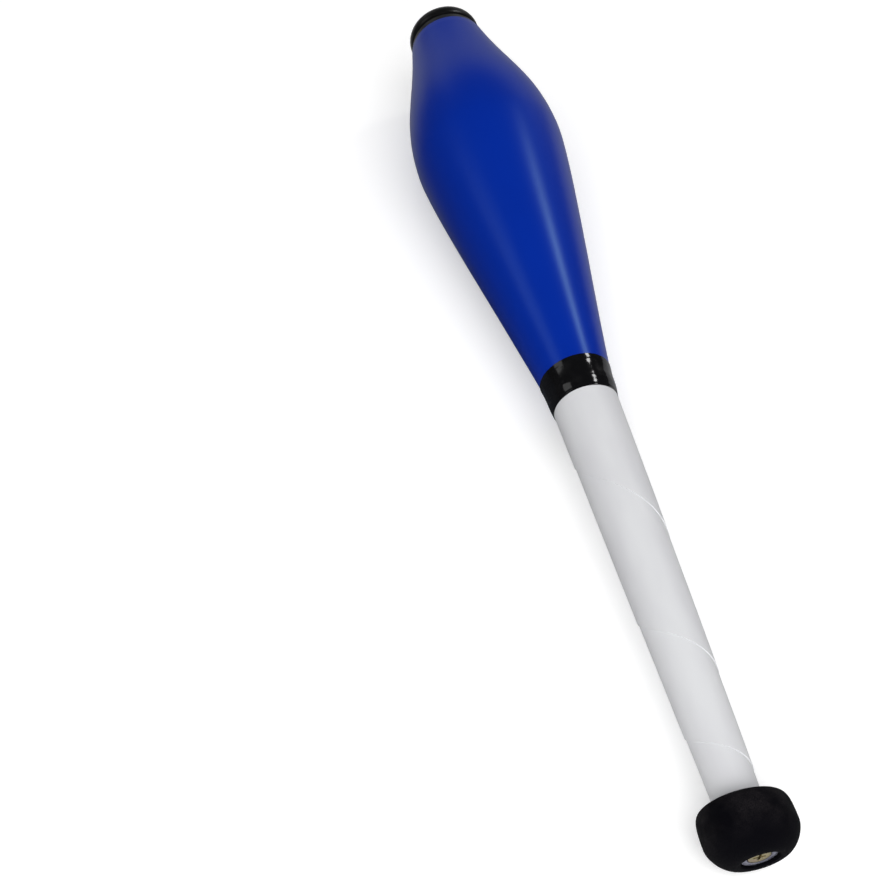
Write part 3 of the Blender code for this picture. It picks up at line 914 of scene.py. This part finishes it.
cap_outline = [
    (screw_hole, crown_sink_end),
    (floor_bore, cap_recess_floor),
    (cap_recess, cap_recess_floor),
    *eased((cap_recess, cap_recess_floor), cap_recess_edge, (cap_face, cap_high), CAP_RECESS_ROUNDING),
    *bead_above,
    *bead_below[-2::-1],
    (groove_radius, collar_high),
    *eased((groove_radius, collar_high), collar_top, collar_foot, CAP_EDGE_ROUNDING),
    *eased(collar_top, collar_foot, (cap_spigot, collar_low), CAP_EDGE_ROUNDING),
    (cap_spigot, collar_low),
    (cap_spigot, cap_low),
    (dowel_hole, cap_low),
    (dowel_hole, crown_stop),
    (screw_hole, crown_stop),
]


def moulded_rubber(point):
    grain = cloud(point, CAP_GRAIN, CAP_GRAIN_DETAIL)
    bloom = rise(cloud(point, CAP_BLOOM_PATCH), *CAP_BLOOM_EDGE)
    return {
        "Base Color": blend(bloom * grain, CAP_BLACK, CAP_BLOOM),
        "Roughness": rough(CAP_ROUGHNESS, bloom, grain),
        "Normal": relief(grain, CAP_GRAIN_DEPTH),
    }


rubber = finish("moulded_rubber", moulded_rubber, {"Specular IOR Level": CAP_SPECULAR})
cap = wound("rubber_cap", lambda part_turn: cap_outline, rubber)
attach(cap, "root")
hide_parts("crown_cap")

# Floor and backdrop
# A pale sheet under the club that fades into a white room. The camera sees it as white with the club's soft
# shadow. The club's gloss shows both dimmer. Beside the body's left the floor carries painted shade,
# which the gloss shows dark and which gives back less light to the club.
FLOOR_REACH = 5.0
FLOOR_SQUARES = 8  # along each side of its mesh
FLOOR_WHITE = (0.86, 0.86, 0.86, 1.0)
FLOOR_IN_GLOSS = (0.42, 0.42, 0.43, 1.0)
# Painted shade on the floor beside the body's left, as the club's gloss sees it and as it lights the club
FLOOR_LEFT_SHADE_IN_GLOSS = (0.05, 0.055, 0.065, 1.0)
FLOOR_LEFT_SHADE_BOUNCE = (0.25, 0.25, 0.27, 1.0)  # what the floor's painted shade on the left gives back to the club
FLOOR_GLOW = (0.33, 0.33, 0.33, 1.0)  # lifts the lit floor to white for the camera
NO_GLOW = (0, 0, 0, 1.0)
WHITE = (1.0, 1.0, 1.0, 1.0)
FLOOR_FADE_START = 0.7  # from the club, where the floor begins to fade into the white room
FLOOR_FADE_END = 1.8
LEFT_EDGE = (-0.01, 0.075)  # across the club, where the painted shade begins to fade, and where it is gone
LEFT_LEAN = 0.5  # how far that edge moves left for each metre towards the crown
LEFT_START = (-0.25, -0.10)  # along the club, where the painted shade on the left begins in the gloss
LEFT_BOUNCE_START = (-0.10, 0.10)  # along the club, where the painted shade begins to give back less
ROOM_FILL_FRONT = 0.464  # level of the room's own soft light, on the camera's side
ROOM_FILL_BACK = 0.128
ROOM_FILL_FADE = (-0.5, 0.5)  # from front to back
BACKDROP_IN_GLOSS = 0.32  # level of the pale sheet beyond the crown
BACKDROP_LEFT = (-0.45, -0.30)  # the ways, from the club, in which the sheet's edges fade
BACKDROP_RIGHT = (0.68, 0.84)
BACKDROP_TOP = (0.25, 0.50)
BACKDROP_FRONT = (0, 0.2)
ROOM_IN_GLOSS = 0.032

floor_mesh = bpy.data.meshes.new("floor")
floor_skin = bmesh.new()
bmesh.ops.create_grid(floor_skin, x_segments=FLOOR_SQUARES, y_segments=FLOOR_SQUARES, size=FLOOR_REACH)
floor_skin.to_mesh(floor_mesh)
floor_skin.free()
floor = bpy.data.objects.new("floor", floor_mesh)
floor.location.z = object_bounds()[0].z
bpy.context.scene.collection.objects.link(floor)


def ray_kinds(tree):
    """How much a ray is one that the background shows white to, and how much it comes from a gloss."""
    path = tree.nodes.new("ShaderNodeLightPath").outputs
    return Shade(path["Is Camera Ray"]) + Shade(path["Is Transmission Ray"]), Shade(path["Is Glossy Ray"])


floor_paper = bpy.data.materials.new("floor_paper")
floor_paper.use_nodes = True
floor_paper.node_tree.nodes.clear()
seen_white, in_gloss = ray_kinds(floor_paper.node_tree)
floor_place = in_gloss.node("ShaderNodeTexCoord", {}, {}, "Object")
across, along, _ = sides_of(floor_place)
from_club = floor_place.node("ShaderNodeVectorMath", {"operation": "LENGTH"}, {0: floor_place}, "Value")
faded = rise(from_club, FLOOR_FADE_START, FLOOR_FADE_END)
towards_crown = along.sum("MAXIMUM", along, 0.0)
# Painted shade on the floor beside the body's left: dark in the gloss and giving back less light, white to
# the camera
painted_left_shade = (1 - rise(across + LEFT_LEAN * towards_crown, *LEFT_EDGE)) * rise(along, *LEFT_START)
floor_gloss = blend(painted_left_shade, FLOOR_IN_GLOSS, FLOOR_LEFT_SHADE_IN_GLOSS)
left_shade_beside_body = painted_left_shade * rise(along, *LEFT_BOUNCE_START) * (1 - seen_white)
floor_bounce = blend(left_shade_beside_body, FLOOR_WHITE, FLOOR_LEFT_SHADE_BOUNCE)
floor_sockets = {
    "Base Color": blend(in_gloss, floor_bounce, floor_gloss),
    "Emission Color": blend(seen_white, NO_GLOW, blend(faded, FLOOR_GLOW, WHITE)),
    "Emission Strength": 1.0,
    "Roughness": 1.0,
    "Specular IOR Level": 0.0,
}
floor_sheet = in_gloss.node("ShaderNodeBsdfPrincipled", {}, floor_sockets)
in_gloss.node("ShaderNodeOutputMaterial", {}, {"Surface": floor_sheet})
floor_mesh.materials.append(floor_paper)

room = bpy.data.worlds.new("room")
room.use_nodes = True
room.node_tree.nodes.clear()
seen_white, in_gloss = ray_kinds(room.node_tree)
room_x, room_y, room_z = sides_of(in_gloss.node("ShaderNodeTexCoord", {}, {}, "Generated"))
backdrop = rise(room_x, *BACKDROP_LEFT) * (1 - rise(room_x, *BACKDROP_RIGHT))
backdrop = backdrop * (1 - rise(room_z, *BACKDROP_TOP)) * rise(room_y, *BACKDROP_FRONT)
gloss_level = ROOM_IN_GLOSS + (BACKDROP_IN_GLOSS - ROOM_IN_GLOSS) * backdrop
room_fill = ROOM_FILL_FRONT + (ROOM_FILL_BACK - ROOM_FILL_FRONT) * rise(room_y, *ROOM_FILL_FADE)
room_level = seen_white + in_gloss * gloss_level + (1 - seen_white - in_gloss) * room_fill
room_light = in_gloss.node("ShaderNodeBackground", {}, {"Color": WHITE, "Strength": room_level})
in_gloss.node("ShaderNodeOutputWorld", {}, {"Surface": room_light})
bpy.context.scene.world = room

# Lamps
# A small bright softbox and a tall dim one stand beyond the crown, right and left, and draw the two long
# streaks on the body. A wide diffuser above the camera gives most of the light.
LAMP_DISTANCE = 2.4

club_neck = club @ Vector((0, 0, body_low))


def softbox(name, way, width, height, level, mirrored=True):
    """A lamp this way from the club's neck, facing it. Its level is the brightness of its face."""
    lamp = bpy.data.lights.new(name, "AREA")
    lamp.shape = "RECTANGLE"
    lamp.size = width
    lamp.size_y = height
    lamp.energy = level * math.pi * width * height
    made = bpy.data.objects.new(name, lamp)
    made.location = club_neck + LAMP_DISTANCE * Vector(way).normalized()
    made.rotation_euler = Vector(way).to_track_quat("Z", "Y").to_euler()
    made.visible_glossy = mirrored
    bpy.context.scene.collection.objects.link(made)


softbox("right_softbox", way=(0.593, 0.407, 0.715), width=0.33, height=0.34, level=12.4)
softbox("left_softbox", way=(-0.711, 0.362, 0.602), width=0.44, height=1.00, level=1.05)
softbox("front_diffuser", way=(-0.12, -0.62, 0.78), width=2.4, height=2.4, level=3.30, mirrored=False)

# Camera
# It looks down along the club from above the knob, as the photograph does.
CAMERA_FROM_KNOB = Vector((-0.17206, -0.20556, 0.51593))
CAMERA_TILT = math.radians(40.9921)  # up from straight down
CAMERA_TURN = math.radians(-13.3534)
CAMERA_LENS = 58.98  # millimetres, on a sensor 36 mm wide

camera_data = bpy.data.cameras.new("camera")
camera_data.lens = CAMERA_LENS
camera = bpy.data.objects.new("camera", camera_data)
camera.location = knob_end + CAMERA_FROM_KNOB
camera.rotation_euler = (CAMERA_TILT, 0, CAMERA_TURN)
bpy.context.scene.collection.objects.link(camera)
bpy.context.scene.camera = camera
bpy.context.scene.view_settings.view_transform = "Standard"
